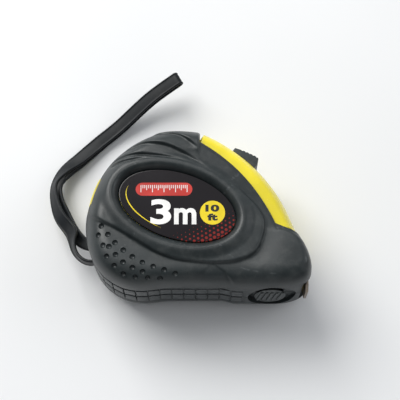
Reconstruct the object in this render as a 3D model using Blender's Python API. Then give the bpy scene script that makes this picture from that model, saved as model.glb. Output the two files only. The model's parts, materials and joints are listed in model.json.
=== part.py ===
"""Pocket tape measure, 3 m, lying on its back: blade 16 mm, spring return, thumb lock and underside brake.

Sizes are in millimetres and become metres where vertices are made. X is the way the blade pulls out, Y runs
from the base edge to the top edge, and Z is the thickness, with the rear face on the ground.
"""

from math import atan2, cos, hypot, pi, radians, sin

import bmesh
import bpy
from mathutils import Matrix, Vector

MM = 0.001

# Case: two halves meet on the middle plane, and each wears a rubber jacket.
THICK = 34.0
MID = THICK / 2
GAP = 0.3
SPLIT = 0.15
RUBBER = 2.3
WALL = 1.8
FACE = 33.0
SHELL_FACE = 31.3
SIDE_TOP = 25.0
HEART = (-2.0, 0.0)

# Middle of the finished case's box, which part of the outline to put over the world's origin.
MIDDLE = Vector((-0.47, -0.03, 0.0))

# The bare yellow front edge follows one circle, and the thumb lock slides round the same circle.
BAND = (-20.0, -23.0)
BAND_R = 53.6
BAND_TOP = 0.6
RIM = (-29.2, -29.9)
RIM_R = 59.0

# Label window in each face.
WINDOW = (-6.5, -1.5)
WINDOW_A = 18.9
WINDOW_B = 10.8
WINDOW_TILT = -19.0
RING_WIDTH = 5.0

# Blade and reel. The wound length fixes the outer radius of the coil.
BLADE_WIDTH = 16.0
BLADE_THICK = 0.4
BLADE_TOP = -20.5
HUB_R = 13.6
COIL_R = 19.8
REEL = (-7.0, BLADE_TOP + GAP + COIL_R)
POST_R = 3.0
BLADE_END = 32.4
RIVET_X = 30.6

# Mouth and end hook.
MOUTH_X = 29.7
MOUTH_WIDTH = 18.0
MOUTH_CEILING = -16.8
HOOK_X = 33.6
HOOK_THICK = 0.9
HOOK_WIDTH = 14.0
HOOK_FOOT = -26.4
TONGUE_END = 28.9

# Thumb lock.
LOCK_LOW = 44.9
LOCK_HIGH = 55.0
LOCK_TRAVEL = 9.0
LOCK_WIDTH = 13.0
LOCK_R = 58.2
ARM_R = 48.2
ARM_THICK = 1.4
ARM_END = 14.9
PAD_END = 12.3

# Brake button under the blade.
BRAKE = (23.0, -27.0)
BRAKE_TRAVEL = 1.1
BRAKE_LENGTH = 11.0
BRAKE_WIDTH = 16.0

SCREWS = ((-24.6, -19.6), (-21.9, 16.0), (7.2, 19.6), (22.0, -14.5))
BOSS_R = 1.9
SCREW_R = 0.9

# Wrist strap: a flat band folded into a loop, from the pin in the case to the free fold. Each stop is a point
# midway between its two strands, the turn of its face out of level, and half the distance between the strands.
STRAP_WIDTH = 4.6
STRAP_THICK = 1.0
PIN = (-31.4, -12.0, 15.2)
STRAP_STOPS = (
    (-31.4, -12.0, 15.2, 90, 2.0),
    (-34.6, -12.1, 14.8, 90, 3.0),
    (-37.9, -9.3, 12.4, 66, 2.6),
    (-41.3, -3.6, 9.6, 26, 0.95),
    (-44.9, 2.4, 7.6, 38, 1.5),
    (-47.5, 9.0, 5.8, 52, 1.0),
    (-48.0, 14.8, 4.6, 60, 0.95),
    (-45.4, 20.0, 3.6, 36, 0.95),
    (-40.7, 25.0, 2.4, 12, 0.95),
    (-34.0, 31.7, 1.8, 0, 0.95),
    (-27.2, 37.4, 2.6, 0, 0.95),
    (-16.8, 46.1, 6.4, 0, 0.95),
    (-7.4, 51.6, 10.6, 0, 0.95),
)

OUTLINE = (
    (35.3, -20.8), (34.8, -17.0), (33.6, -13.2), (31.9, -9.2), (30.3, -4.7), (27.3, 2.2), (23.4, 8.5),
    (18.6, 14.2), (13.0, 19.2), (6.8, 23.4), (0.6, 26.2), (-6.6, 27.0), (-12.5, 26.3), (-18.0, 24.0),
    (-23.5, 20.5), (-28.6, 15.8), (-32.2, 10.0), (-34.6, 3.5), (-36.0, -3.8), (-35.5, -9.5), (-34.0, -14.5),
    (-31.8, -19.2), (-28.2, -23.2), (-23.2, -26.0), (-17.0, -27.0), (-6.0, -27.0), (6.0, -27.0),
    (18.0, -27.0), (26.0, -26.8), (31.0, -25.9), (34.2, -24.0),
)
OUTLINE_STEPS = 2


def material(name, colour, roughness, metallic=0.0):
    made = bpy.data.materials.new(name)
    made.use_nodes = True
    shader = made.node_tree.nodes["Principled BSDF"]
    shader.inputs["Base Color"].default_value = (*colour, 1.0)
    shader.inputs["Roughness"].default_value = roughness
    shader.inputs["Metallic"].default_value = metallic
    made.diffuse_color = (*colour, 1.0)
    return made


# Outlines and points, in millimetres.


def spline(points, steps, closed=True):
    """Catmull-Rom curve through points of any dimension, with this many steps between neighbours."""
    count = len(points)
    at = [Vector(p) for p in points]
    made = []
    for i in range(count if closed else count - 1):
        if closed:
            before, here, there, after = (at[(i + k) % count] for k in (-1, 0, 1, 2))
        else:
            before, after = at[max(i - 1, 0)], at[min(i + 2, count - 1)]
            here, there = at[i], at[i + 1]
        for step in range(steps):
            t = step / steps
            made.append(
                0.5 * (2 * here + (there - before) * t
                       + (2 * before - 5 * here + 4 * there - after) * t**2
                       + (3 * here - before - 3 * there + after) * t**3)
            )
    if not closed:
        made.append(at[-1])
    return made


def outer_outline():
    return [(p.x, p.y) for p in spline(OUTLINE, OUTLINE_STEPS)]


def bare(point):
    """True where the yellow case shows at the outer edge, between the top step and the nose."""
    angle = atan2(point[1] - BAND[1], point[0] - BAND[0])
    return point[0] > BAND_TOP + 1.0 and angle > radians(19)


def case_outline(grow=0.0):
    """The case's own edge: inside the rubber, and out at the surface along the bare band."""
    outer = outer_outline()
    made = []
    for i, here in enumerate(outer):
        before, after = outer[i - 1], outer[(i + 1) % len(outer)]
        run, rise = after[0] - before[0], after[1] - before[1]
        size = hypot(run, rise)
        depth = grow - (0.0 if bare(here) else RUBBER)
        made.append((here[0] + rise / size * depth, here[1] - run / size * depth))
    return made


def drawn_in(outline, depth):
    """Every point moved this far towards the middle of the case."""
    made = []
    for x, y in outline:
        run, rise = x - HEART[0], y - HEART[1]
        keep = 1 - depth / hypot(run, rise)
        made.append((HEART[0] + run * keep, HEART[1] + rise * keep))
    return made


def arc(centre, radius, start, end, steps):
    made = []
    for i in range(steps + 1):
        angle = radians(start + (end - start) * i / steps)
        made.append((centre[0] + radius * cos(angle), centre[1] + radius * sin(angle)))
    return made


def ellipse(grow, steps=32):
    turn = radians(WINDOW_TILT)
    made = []
    for i in range(steps):
        angle = 2 * pi * i / steps
        along, across = (WINDOW_A + grow) * cos(angle), (WINDOW_B + grow) * sin(angle)
        made.append((WINDOW[0] + along * cos(turn) - across * sin(turn),
                     WINDOW[1] + along * sin(turn) + across * cos(turn)))
    return made


def sector(inner, outer, low, high, steps=8):
    """Outline of a piece of a ring round the band's centre."""
    return arc(BAND, outer, low, high, steps) + arc(BAND, inner, high, low, steps)


# Solids.


def new_object(name, mesh, finish=None):
    made = bpy.data.objects.new(name, mesh)
    bpy.context.scene.collection.objects.link(made)
    if finish:
        mesh.materials.append(finish)
    return made


def loft(name, levels, finish=None, ends=True):
    """Solid through outlines of equal count, one for each level, as (outline, z) or as lists of 3-D points."""
    bm = bmesh.new()
    rings = []
    for level in levels:
        if isinstance(level, tuple):
            points = [(x, y, level[1]) for x, y in level[0]]
        else:
            points = level
        rings.append([bm.verts.new(Vector(p) * MM) for p in points])
    if not ends:
        rings.append(rings[0])
    count = len(rings[0])
    for low, high in zip(rings, rings[1:]):
        for i in range(count):
            j = (i + 1) % count
            bm.faces.new((low[i], low[j], high[j], high[i]))
    if ends:
        bm.faces.new(rings[0][::-1])
        bm.faces.new(rings[-1])
    bmesh.ops.recalc_face_normals(bm, faces=bm.faces)
    mesh = bpy.data.meshes.new(name)
    bm.to_mesh(mesh)
    bm.free()
    return new_object(name, mesh, finish)


def prism(name, outline, low, high, finish=None):
    return loft(name, [(outline, low), (outline, high)], finish)


def block(name, low, high, finish=None):
    outline = [(low[0], low[1]), (high[0], low[1]), (high[0], high[1]), (low[0], high[1])]
    return prism(name, outline, low[2], high[2], finish)


def rod(name, centre, radius, low, high, finish=None, steps=12):
    return prism(name, arc(centre, radius, 0, 360 - 360 / steps, steps - 1), low, high, finish)


def stack(name, centre, radii, finish=None, steps=12):
    """Turned solid round Z, from (radius, z) pairs."""
    levels = [(arc(centre, r, 0, 360 - 360 / steps, steps - 1), z) for r, z in radii]
    return loft(name, levels, finish)


def combine(target, tool, operation="DIFFERENCE"):
    """Cuts the tool from the target, or joins it on, and removes the tool."""
    step = target.modifiers.new(operation.title(), "BOOLEAN")
    step.operation = operation
    step.solver = "EXACT"
    step.object = tool
    graph = bpy.context.evaluated_depsgraph_get()
    mesh = bpy.data.meshes.new_from_object(target.evaluated_get(graph))
    target.modifiers.clear()
    target.data = mesh
    bpy.data.objects.remove(tool)
    return target


def smooth(thing, angle=35):
    for face in thing.data.polygons:
        face.use_smooth = True
    thing.data.set_sharp_from_angle(angle=radians(angle))
    return thing


def put_on(pieces, name, origin=(0, 0, 0)):
    """Hangs pieces on an empty that stands on their joint's axis."""
    centre = Vector(origin) * MM
    empty = bpy.data.objects.new(name, None)
    empty.location = centre - MIDDLE * MM
    bpy.context.scene.collection.objects.link(empty)
    for piece in pieces:
        piece.data.transform(Matrix.Translation(-centre))
        piece.parent = empty


def facing(front, z):
    """A height on the front half, or its mirror place on the rear half."""
    return z if front else THICK - z


def zs(front, levels):
    """Levels of a loft on the front half, or mirrored and turned over for the rear half."""
    made = [(outline, facing(front, z)) for outline, z in levels]
    return made if front else made[::-1]


# The case and its jackets.


def case_body(name, front, finish):
    edge = case_outline()
    inside = drawn_in(edge, WALL)
    levels = [(edge, MID + SPLIT), (edge, SIDE_TOP), (drawn_in(edge, 0.9), 28.6),
              (drawn_in(edge, 2.2), 30.6), (drawn_in(edge, 4.0), SHELL_FACE)]
    half = loft(name, zs(front, levels), finish)
    hollow = [(inside, MID - 1), (inside, SIDE_TOP), (drawn_in(inside, 1.4), SHELL_FACE - WALL)]
    combine(half, loft("hollow", zs(front, hollow)))
    floor = SHELL_FACE - WALL / 2
    for centre in SCREWS:
        low, high = sorted((facing(front, MID + SPLIT), facing(front, floor)))
        boss = rod("boss", centre, BOSS_R, low, high)
        if not front:
            combine(boss, rod("head_seat", centre, 2.6, THICK - floor, 6.4), "UNION")
        combine(boss, loft("skin", zs(front, levels)), "INTERSECT")
        combine(half, boss, "UNION")
    low, high = sorted((facing(front, 26.4), facing(front, floor)))
    combine(half, rod("socket", REEL, POST_R + 1.9, low, high), "UNION")
    low, high = sorted((facing(front, 26.0), facing(front, SHELL_FACE - 1.0)))
    combine(half, rod("socket_hole", REEL, POST_R + 0.1, low, high))
    pocket = [(-28.6, -18.8), (-27.6, -18.8), (-27.6, -5.4), (-28.6, -5.4)]
    low, high = sorted((facing(front, MID + SPLIT), facing(front, 21.0)))
    combine(half, prism("pocket_wall", pocket, low, high), "UNION")
    return half


def screw_holes(half, front):
    for centre in SCREWS:
        if front:
            combine(half, rod("thread", centre, SCREW_R + 0.1, MID - 1, 26.0))
        else:
            combine(half, rod("shank_way", centre, SCREW_R + 0.2, -1, MID + 1))
            combine(half, rod("head_way", centre, 1.85, -1, 4.6))


def openings(half, slack=0.0):
    """Mouth, lock slot, brake way and strap notch, cut from a case half or a jacket."""
    side = MOUTH_WIDTH / 2 + slack
    combine(half, block("mouth", (MOUTH_X - slack, -32, MID - side), (40, MOUTH_CEILING, MID + side)))
    combine(half, block("notch", (-40, -17.6 - slack, 11.0 - 6 * slack), (-28.6, -6.6 + 6 * slack, 19.6 + slack)))


def make_case(front, finish):
    name = "case_half_front" if front else "case_half_rear"
    half = case_body(name, front, finish)
    openings(half)
    slot = sector(BAND_R - 4, BAND_R + 3, LOCK_HIGH - LOCK_TRAVEL - 8.5, LOCK_HIGH - 1.5, 10)
    combine(half, prism("lock_slot", slot, MID - 3.3, MID + 3.3))
    x = BRAKE[0]
    combine(half, block("brake_way", (x - 3.2, -30, MID - 4.2), (x + 3.2, -21.6, MID + 4.2)))
    combine(half, rod("pin_way", PIN[:2], 1.1, 8.2, 22.2, steps=12))
    low, high = sorted((facing(front, MID + SPLIT), facing(front, 23.0)))
    patch = [(-31.4, 4.4), (-29.6, 10.0), (-32.2, 9.4), (-34.1, 4.4)]
    combine(half, prism("side_patch", patch[::-1], low, high), "UNION")
    screw_holes(half, front)
    return smooth(half)


def make_jacket(front, finish):
    """Rubber tray over one case half, open along the bare band and at the label."""
    name = "grip_jacket_front" if front else "grip_jacket_rear"
    edge = outer_outline()
    levels = [(edge, MID + SPLIT), (edge, SIDE_TOP), (drawn_in(edge, 0.8), 28.8), (drawn_in(edge, 2.2), 31.2),
              (drawn_in(edge, 4.0), 32.5), (drawn_in(edge, 6.4), FACE)]
    jacket = loft(name, zs(front, levels), finish)
    ring = [(ellipse(RING_WIDTH), FACE - 1.0), (ellipse(RING_WIDTH), FACE), (ellipse(RING_WIDTH * 0.7), THICK)]
    combine(jacket, loft("ring", zs(front, ring)), "UNION")
    bed = case_outline(GAP)
    pocket = [(bed, MID - 1), (bed, SIDE_TOP), (drawn_in(bed, 0.9), 28.8), (drawn_in(bed, 2.2), 30.9),
              (drawn_in(bed, 4.0), SHELL_FACE + GAP)]
    combine(jacket, loft("pocket", zs(front, pocket)))
    window = [(ellipse(0.0), SHELL_FACE - 1), (ellipse(0.0), SHELL_FACE + 0.8), (ellipse(1.6), THICK + 0.5)]
    combine(jacket, loft("window", zs(front, window)))
    rim = arc(RIM, RIM_R, 24.5, 59.6, 16)
    clear = rim + [(BAND_TOP, 21.0), (BAND_TOP, 40.0), (45.0, 40.0), (45.0, -9.4), (31.4, -9.4)]
    combine(jacket, prism("band_way", clear, -5, THICK + 5))
    openings(jacket, GAP)
    combine(jacket, block("patch_way", (-40, 4.0, 10.7), (-27, 10.4, 23.3)))
    oval = []
    for i in range(20):
        angle = 2 * pi * i / 20
        oval.append((BRAKE[0] + 0.3 + 7.6 * cos(angle), -20.0, MID + 10.4 * sin(angle)))
    combine(jacket, loft("brake_recess", [oval, [(x, -30.0, z) for x, y, z in oval]]))
    if not front:
        for centre in SCREWS:
            combine(jacket, rod("screw_way", centre, 2.2, -1, 6))
    return smooth(jacket, 50)


def make_labels(finish):
    made = []
    for name, front in (("label_front", True), ("label_rear", False)):
        levels = [(ellipse(-0.5), SHELL_FACE + 0.15), (ellipse(-0.5), SHELL_FACE + 0.7),
                  (ellipse(-2.0), SHELL_FACE + 1.0)]
        made.append(smooth(loft(name, zs(front, levels), finish)))
    return made


def make_screws(finish):
    made = []
    for i, centre in enumerate(SCREWS):
        shape = [(1.6, 3.0), (1.6, 4.4), (SCREW_R, 4.4), (SCREW_R, 24.6), (0.5, 25.4)]
        screw = stack(f"case_screw_{i + 1}", centre, shape, finish)
        for turn in (0, 90):
            cross = block("cross", (-1.2, -0.25, 2.5), (1.2, 0.25, 3.8))
            cross.data.transform(Matrix.Rotation(radians(turn + 20 * i), 4, "Z"))
            cross.data.transform(Matrix.Translation(Vector((*centre, 0)) * MM))
            combine(screw, cross)
        made.append(smooth(screw))
    return made


# Reel, spring and blade.


def make_reel(finish, post_finish, spring_finish, blade_finish):
    low, high = MID - 8.4, MID + 8.4
    drum = rod("reel_drum", REEL, HUB_R, low, high, finish, 36)
    combine(drum, rod("bowl", REEL, HUB_R - 1.5, low + 1.4, high + 1, steps=36))
    combine(drum, rod("bore", REEL, POST_R + 0.35, low - 1, high + 1))
    cover = rod("reel_cover", REEL, HUB_R - 1.8, high - 1.4, high, finish, 36)
    combine(cover, rod("bore", REEL, POST_R + 0.35, low - 1, high + 1))
    post = stack("reel_post", REEL, [(POST_R - 0.5, 4.4), (POST_R, 5.0), (POST_R, 29.0), (POST_R - 0.5, 29.6)],
                 post_finish)
    combine(post, block("slit", (REEL[0] - 0.5, REEL[1] - 5, MID - 5.5), (REEL[0] + 0.5, REEL[1], MID + 5.5)))
    coil = rod("blade_coil", REEL, COIL_R, MID - BLADE_WIDTH / 2, MID + BLADE_WIDTH / 2, blade_finish, 48)
    combine(coil, rod("core", REEL, HUB_R + 0.2, 0, THICK, steps=48))
    washers = []
    for name, z in (("reel_washer_front", high + 0.2), ("reel_washer_rear", low - 0.7)):
        washer = rod(name, REEL, POST_R + 2.2, z, z + 0.5, finish, 16)
        washers.append(smooth(combine(washer, rod("bore", REEL, POST_R + 0.2, 0, THICK))))
    return [smooth(p) for p in (drum, cover, post, coil)] + [make_spring(spring_finish)] + washers


def make_spring(finish):
    """Power spring: a spiral band that winds from the post to the drum."""
    turns, per_turn, thick = 5.0, 16, 0.35
    start, end = POST_R + 0.8, HUB_R - 1.5 - 0.8
    rings = []
    for i in range(int(turns * per_turn) + 1):
        part = i / (turns * per_turn)
        angle = 2 * pi * turns * part
        radius = start + (end - start) * part
        ring = []
        for r, z in ((-thick, -5), (thick, -5), (thick, 5), (-thick, 5)):
            reach = radius + r / 2
            ring.append((REEL[0] + reach * cos(angle), REEL[1] + reach * sin(angle), MID + z))
        rings.append(ring)
    return smooth(loft("return_spring", rings, finish))


def make_blade(finish, rivet_finish):
    half = BLADE_WIDTH / 2
    low = BLADE_TOP - BLADE_THICK
    run = block("blade_run", (REEL[0] + 1, low, MID - half), (BLADE_END, BLADE_TOP, MID + half), finish)
    rivets = []
    for i, z in enumerate((MID - 4, MID + 4)):
        combine(run, turned_up(rod("way", (RIVET_X, z), 0.9, low - 1, BLADE_TOP + 1)))
        shape = [(1.6, low - 0.6), (1.6, low - 0.15), (0.75, low - 0.15), (0.75, BLADE_TOP + 1.0),
                 (1.6, BLADE_TOP + 1.0), (1.4, BLADE_TOP + 1.5)]
        rivet = turned_up(stack(f"hook_rivet_{i + 1}", (RIVET_X, z), shape, rivet_finish))
        rivets.append(smooth(rivet))
    return run, rivets


def turned_up(thing):
    """Swaps Y and Z, for a turned piece whose axis runs from the base edge to the top edge."""
    bm = bmesh.new()
    bm.from_mesh(thing.data)
    for v in bm.verts:
        v.co = (v.co.x, v.co.z, v.co.y)
    bmesh.ops.reverse_faces(bm, faces=bm.faces)
    bm.to_mesh(thing.data)
    bm.free()
    return thing


def make_hook(finish):
    """L-shaped steel hook: a claw across the mouth, and a tongue on the blade with slots for the rivets."""
    half = HOOK_WIDTH / 2
    top = BLADE_TOP + 0.15
    profile = [(TONGUE_END, top), (HOOK_X - 0.4, top), (HOOK_X, top - 0.4), (HOOK_X, HOOK_FOOT),
               (HOOK_X + HOOK_THICK, HOOK_FOOT), (HOOK_X + HOOK_THICK, top + 0.2),
               (HOOK_X + HOOK_THICK - 0.5, top + 0.7), (TONGUE_END, top + 0.7)]
    hook = prism("end_hook", profile, MID - half, MID + half, finish)
    for z in (MID - 4, MID + 4):
        slot = arc((RIVET_X, z), 0.95, 90, 270, 6) + arc((RIVET_X + 1.1, z), 0.95, -90, 90, 6)
        combine(hook, turned_up(prism("slot", slot, top - 1, top + 3)))
    return smooth(hook)


def make_mouth(guide_finish, bumper_finish):
    low = BLADE_TOP - BLADE_THICK
    guide = block("mouth_guide", (30.0, -24.2, MID - 8.7), (31.4, -17.2, MID + 8.7), guide_finish)
    combine(guide, block("way", (29, low - 0.9, MID - 8.2), (33, BLADE_TOP + 1.9, MID + 8.2)))
    bumper = block("hook_bumper", (31.6, -24.0, MID - 6.5), (32.4, low - 1.2, MID + 6.5), bumper_finish)
    return guide, bumper


# Lock and brake.


def make_lock(finish, arm_finish, pad_finish):
    width = LOCK_WIDTH / 2
    crown = [(sector(BAND_R + 0.5, LOCK_R - 1.0, LOCK_LOW, LOCK_HIGH), MID - width),
             (sector(BAND_R + 0.5, LOCK_R, LOCK_LOW + 0.6, LOCK_HIGH - 0.6), MID - width + 1.0),
             (sector(BAND_R + 0.5, LOCK_R, LOCK_LOW + 0.6, LOCK_HIGH - 0.6), MID + width - 1.0),
             (sector(BAND_R + 0.5, LOCK_R - 1.0, LOCK_LOW, LOCK_HIGH), MID + width)]
    button = loft("thumb_lock", crown, finish)
    for i in range(4):
        angle = LOCK_LOW + 2.2 + 1.9 * i
        groove = sector(LOCK_R - 0.6, LOCK_R + 2, angle, angle + 0.8, 2)
        combine(button, prism("groove", groove, MID - width + 1.8, MID + width - 1.8))
    neck = sector(ARM_R + GAP, BAND_R + 1.0, LOCK_LOW + 2.6, LOCK_HIGH - 2.6)
    combine(button, prism("neck", neck, MID - 2.8, MID + 2.8), "UNION")
    arm = prism("lock_arm", sector(ARM_R - ARM_THICK, ARM_R, ARM_END, LOCK_HIGH - 2.6, 20), MID - 2.8, MID + 2.8,
                arm_finish)
    pad = prism("lock_pad", sector(ARM_R - ARM_THICK - 0.6, ARM_R - 0.2, PAD_END, ARM_END - 0.35, 3),
                MID - 5.0, MID + 5.0, pad_finish)
    return [smooth(p) for p in (button, arm, pad)]


def make_brake(finish, pad_finish, spring_finish):
    x, base = BRAKE
    half = BRAKE_LENGTH / 2
    oval = []
    for i in range(20):
        angle = 2 * pi * i / 20
        oval.append((x + half * cos(angle), MID + BRAKE_WIDTH / 2 * sin(angle)))
    button = turned_up(prism("brake_button", oval, base + 0.5, base + 1.1, finish))
    for i in range(4):
        at = x - 3.3 + 2.2 * i
        rib = block("rib", (at - 0.5, base, MID - 4.6), (at + 0.5, base + 0.8, MID + 4.6))
        combine(button, rib, "UNION")
    combine(button, block("stem", (x - 2.8, base + 0.8, MID - 3.8), (x + 2.8, base + 3.2, MID + 3.8)), "UNION")
    top = BLADE_TOP - BLADE_THICK - BRAKE_TRAVEL - 0.1
    pad = block("brake_pad", (x - 2.8, base + 3.35, MID - 3.8), (x + 2.8, top, MID + 3.8), pad_finish)
    spring = block("brake_spring", (x - 4.6, base + 1.5, MID - 5.4), (x + 4.6, base + 1.8, MID + 5.4),
                   spring_finish)
    combine(spring, block("way", (x - 3.4, base, MID - 4.4), (x + 3.4, base + 3, MID + 4.4)))
    return [smooth(button), pad, spring]


# Wrist strap.


def strap_frames():
    """(middle, across, up, spread) down the strap, from the pin to the fold."""
    along = spline([(x, y, z) for x, y, z, turn, spread in STRAP_STOPS], 3, closed=False)
    shape = spline([(turn, spread) for x, y, z, turn, spread in STRAP_STOPS], 3, closed=False)
    made = []
    for i, (point, (turn, spread)) in enumerate(zip(along, shape)):
        ahead = (along[min(i + 1, len(along) - 1)] - along[max(i - 1, 0)]).normalized()
        level = ahead.cross(Vector((0, 0, 1))).normalized()
        rise = level.cross(ahead)
        angle = radians(turn)
        across = level * cos(angle) + rise * sin(angle)
        made.append((point, across, ahead.cross(across).normalized(), spread, ahead))
    return made


def strap_path():
    """(point, across, up) once round the strap's loop: out along one strand, round the fold and back."""
    frames = strap_frames()
    out = [(p + up * spread, w, up) for p, w, up, spread, ahead in frames]
    back = [(p - up * spread, w, -up) for p, w, up, spread, ahead in frames[::-1]]

    def turn_round(frame, forward):
        p, w, up, spread, ahead = frame
        made = []
        for i in range(1, 6):
            angle = pi * i / 6
            side = up * cos(angle) * forward + ahead * sin(angle) * forward
            made.append((p + side * spread, w, side))
        return made

    return out + turn_round(frames[-1], 1) + back + turn_round(frames[0], -1)


def make_strap(finish, rivet_finish, pin_finish):
    rings = []
    for point, across, up in strap_path():
        w, t = across * STRAP_WIDTH / 2, up * STRAP_THICK / 2
        rings.append([point + w + t, point - w + t, point - w - t, point + w - t])
    strap = smooth(loft("wrist_strap", rings, finish, ends=False))
    p, w, up, spread, ahead = strap_frames()[9]
    washer = stack("strap_rivet", (0, 0), [(1.3, 0.0), (1.3, 0.35), (0.8, 0.6)], rivet_finish, 16)
    lean = Vector((0, 0, 1)).rotation_difference(up).to_matrix().to_4x4()
    top = p + up * (spread + STRAP_THICK / 2 + 0.1)
    washer.data.transform(Matrix.Translation(top * MM) @ lean)
    pin = rod("strap_pin", PIN[:2], 1.0, 8.6, 21.8, pin_finish, 12)
    return strap, smooth(washer), smooth(pin)


def build():
    for thing in list(bpy.data.objects):
        bpy.data.objects.remove(thing)

    yellow = material("yellow_abs", (0.83, 0.70, 0.05), 0.32)
    rubber = material("black_rubber", (0.045, 0.055, 0.06), 0.55)
    black = material("black_abs", (0.02, 0.022, 0.024), 0.38)
    print_film = material("label_film", (0.015, 0.012, 0.014), 0.15)
    steel = material("plated_steel", (0.62, 0.62, 0.60), 0.28, 1.0)
    spring_steel = material("spring_steel", (0.35, 0.36, 0.38), 0.35, 1.0)
    tape_yellow = material("blade_yellow", (0.85, 0.66, 0.05), 0.3)
    nylon = material("white_nylon", (0.75, 0.74, 0.70), 0.45)
    strap_black = material("strap_vinyl", (0.012, 0.013, 0.014), 0.25)

    pieces = [make_case(front, yellow) for front in (True, False)]
    pieces += [make_jacket(front, rubber) for front in (True, False)]
    pieces += make_labels(print_film) + make_screws(steel)
    pieces += make_mouth(nylon, rubber) + make_strap(strap_black, steel, steel)
    drum, cover, post, coil, spring, *washers = make_reel(nylon, steel, spring_steel, tape_yellow)
    button, pad, leaf = make_brake(black, rubber, spring_steel)
    run, rivets = make_blade(tape_yellow, steel)

    put_on(pieces + [post, leaf] + washers, "on_case")
    put_on([drum, cover, coil, spring], "on_reel", (*REEL, MID))
    put_on([run] + rivets, "on_blade", (BLADE_END, BLADE_TOP, MID))
    put_on([make_hook(steel)], "on_hook", (HOOK_X, BLADE_TOP, MID))
    put_on(make_lock(black, spring_steel, rubber), "on_lock", (*BAND, MID))
    put_on([button, pad], "on_brake", (*BRAKE, MID))


build()
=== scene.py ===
"""Pocket tape measure, 3 m: the looks of every piece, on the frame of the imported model.

Sizes are in millimetres on the case's own drawing, and at() turns a point of it into metres in the frame.
"""

import json
from math import atan2, cos, hypot, pi, radians, sin, tan

import bmesh
import bpy
import numpy as np
from mathutils import Matrix, Vector

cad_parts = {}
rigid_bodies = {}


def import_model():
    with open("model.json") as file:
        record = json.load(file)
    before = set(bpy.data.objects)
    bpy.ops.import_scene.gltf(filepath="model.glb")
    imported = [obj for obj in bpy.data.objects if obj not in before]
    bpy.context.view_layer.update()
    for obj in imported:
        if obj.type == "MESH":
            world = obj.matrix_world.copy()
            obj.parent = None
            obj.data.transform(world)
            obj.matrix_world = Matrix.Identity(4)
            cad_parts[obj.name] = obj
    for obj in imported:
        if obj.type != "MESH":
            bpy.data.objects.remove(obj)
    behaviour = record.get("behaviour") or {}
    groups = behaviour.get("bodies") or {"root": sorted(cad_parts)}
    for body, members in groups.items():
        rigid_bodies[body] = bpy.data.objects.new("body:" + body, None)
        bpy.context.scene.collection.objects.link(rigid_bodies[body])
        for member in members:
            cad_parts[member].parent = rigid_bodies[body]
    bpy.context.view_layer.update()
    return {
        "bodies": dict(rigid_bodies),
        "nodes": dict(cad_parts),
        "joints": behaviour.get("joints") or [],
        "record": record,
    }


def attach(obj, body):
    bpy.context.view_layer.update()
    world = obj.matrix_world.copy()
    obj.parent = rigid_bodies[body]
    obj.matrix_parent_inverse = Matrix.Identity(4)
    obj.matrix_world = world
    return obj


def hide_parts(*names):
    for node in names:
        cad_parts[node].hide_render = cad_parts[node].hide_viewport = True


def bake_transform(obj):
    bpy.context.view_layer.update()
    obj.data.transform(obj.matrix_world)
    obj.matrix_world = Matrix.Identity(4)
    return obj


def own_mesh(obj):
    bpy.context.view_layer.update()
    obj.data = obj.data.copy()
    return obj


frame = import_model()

MM = 0.001
MIDDLE = Vector((0.47, 0.03, 0.0))
NODES = frame["nodes"]

# The case's drawing, as the solid has it.
THICK = 34.0
MID = 17.0
SPLIT = 0.15
GAP = 0.3
RUBBER = 2.3
WALL = 1.8
SHELL_FACE = 31.3
FACE = 33.0
HEART = (-2.0, 0.0)
BAND, BAND_R = (-20.0, -23.0), 53.6
RIM, RIM_R = (-29.2, -29.9), 57.8
BAND_TOP = 0.6
WINDOW, WINDOW_A, WINDOW_B, WINDOW_TILT = (-6.5, -1.5), 18.9, 10.8, radians(-19)
REEL = (-7.0, -0.4)
POST_R = 3.0
BLADE_TOP, BLADE_THICK, BLADE_END, RIVET_X = -20.5, 0.4, 32.4, 30.6
MOUTH_X, MOUTH_CEILING, MOUTH_WIDTH = 29.7, -16.8, 18.0
HOOK_X, HOOK_THICK, HOOK_WIDTH, HOOK_FOOT, TONGUE_END = 33.6, 0.9, 14.0, -26.4, 28.9
LOCK_LOW, LOCK_HIGH, LOCK_TRAVEL, LOCK_WIDTH, ARM_R = 44.9, 55.0, 9.0, 13.0, 48.2
BRAKE, BRAKE_LENGTH, BRAKE_WIDTH = (23.0, -27.0), 11.0, 16.0
SCREWS = ((-24.6, -19.6), (-21.9, 16.0), (7.2, 19.6), (22.0, -14.5))
PIN = (-31.4, -12.0)
OUTLINE = (
    (35.3, -20.8), (34.8, -17.0), (33.6, -13.2), (31.9, -9.2), (30.3, -4.7), (27.3, 2.2), (23.4, 8.5),
    (18.6, 14.2), (13.0, 19.2), (6.8, 23.4), (0.6, 26.2), (-6.6, 27.0), (-12.5, 26.3), (-18.0, 24.0),
    (-23.5, 20.5), (-28.6, 15.8), (-32.2, 10.0), (-34.6, 3.5), (-36.0, -3.8), (-35.5, -9.5), (-34.0, -14.5),
    (-31.8, -19.2), (-28.2, -23.2), (-23.2, -26.0), (-17.0, -27.0), (-6.0, -27.0), (6.0, -27.0),
    (18.0, -27.0), (26.0, -26.8), (31.0, -25.9), (34.2, -24.0),
)
STRAP_WIDTH, STRAP_THICK = 4.6, 1.0
STRAP_STOPS = (
    (-31.4, -12.0, 15.2, 90, 2.0), (-34.6, -12.1, 14.8, 90, 3.0), (-37.9, -9.3, 12.4, 66, 2.6),
    (-41.3, -3.6, 9.6, 26, 0.95), (-44.9, 2.4, 7.6, 38, 1.5), (-47.5, 9.0, 5.8, 52, 1.0),
    (-48.0, 14.8, 4.6, 60, 0.95), (-45.4, 20.0, 3.6, 36, 0.95), (-40.7, 25.0, 2.4, 12, 0.95),
    (-34.0, 31.7, 1.8, 0, 0.95), (-27.2, 37.4, 2.6, 0, 0.95), (-16.8, 46.1, 6.4, 0, 0.95),
    (-7.4, 51.6, 10.6, 0, 0.95),
)


def at(x, y, z):
    return (Vector((x, y, z)) + MIDDLE) * MM


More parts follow.
